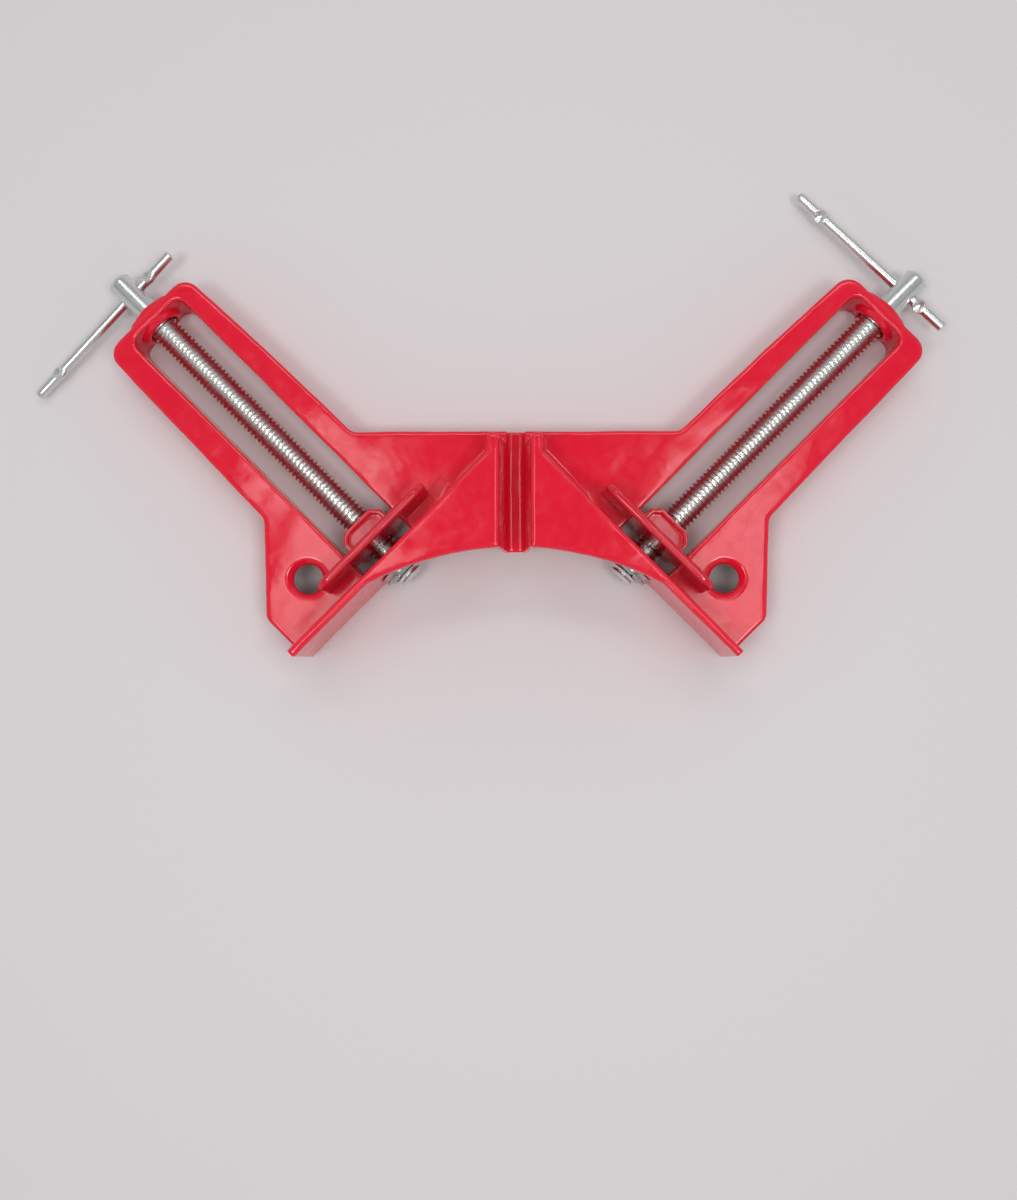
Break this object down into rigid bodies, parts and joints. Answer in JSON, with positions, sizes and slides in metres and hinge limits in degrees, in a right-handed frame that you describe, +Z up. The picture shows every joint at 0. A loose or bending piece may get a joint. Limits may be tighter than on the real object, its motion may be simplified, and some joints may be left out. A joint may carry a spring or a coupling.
{
  "type": "corner clamp",
  "caption": "Corner clamp for mitred frames: cast L body with fences and a saw channel, and a screw-driven jaw on each arm.",
  "frame": {"origin": "on the bench, under the corner where the faces of the two fences would meet", "axes": "+X out along the right arm, +Y out along the left arm, +Z up; the body is symmetrical about the vertical plane x = y"},
  "size_m": [0.2301, 0.2273, 0.035],
  "materials": {
    "red_enamel": "gloss red enamel on a die-cast aluminium alloy",
    "zinc_plated_steel": "bright zinc plate on rolled and turned steel",
    "spring_steel": "stamped and hardened spring steel"
  },
  "bodies": {
    "frame": {"body_casting": "red_enamel"},
    "left_screw": {"left_screw": "zinc_plated_steel", "left_thrust_washer": "zinc_plated_steel", "left_retainer": "spring_steel"},
    "left_jaw": {"left_jaw": "red_enamel"},
    "left_bar": {"left_tommy_bar": "zinc_plated_steel"},
    "right_screw": {"right_screw": "zinc_plated_steel", "right_thrust_washer": "zinc_plated_steel", "right_retainer": "spring_steel"},
    "right_jaw": {"right_jaw": "red_enamel"},
    "right_bar": {"right_tommy_bar": "zinc_plated_steel"}
  },
  "joints": [
    {"name": "left_screw_turn", "type": "hinge", "parent": "frame", "child": "left_screw", "pos_m": [-0.05575, 0, 0.0085], "axis": [0, 1, 0], "range_deg": [-20160, 1080]},
    {"name": "left_jaw_slide", "type": "slide", "parent": "frame", "child": "left_jaw", "axis": [0, 1, 0], "range_m": [-0.00476, 0.0889]},
    {"name": "left_bar_slide", "type": "slide", "parent": "left_screw", "child": "left_bar", "axis": [-0.9932, 0, -0.1165], "range_m": [-0.0286, 0.0016]},
    {"name": "right_screw_turn", "type": "hinge", "parent": "frame", "child": "right_screw", "pos_m": [0, -0.05575, 0.0085], "axis": [1, 0, 0], "range_deg": [-20160, 1080]},
    {"name": "right_jaw_slide", "type": "slide", "parent": "frame", "child": "right_jaw", "axis": [1, 0, 0], "range_m": [-0.00476, 0.0889]},
    {"name": "right_bar_slide", "type": "slide", "parent": "right_screw", "child": "right_bar", "axis": [0, 0.9974, -0.0725], "range_m": [-0.03, 0.0002]}
  ],
  "couplings": [
    {"joint": "left_jaw_slide", "follows": "left_screw_turn", "m_per_rad": -0.00025266},
    {"joint": "right_jaw_slide", "follows": "right_screw_turn", "m_per_rad": -0.00025266}
  ]
}
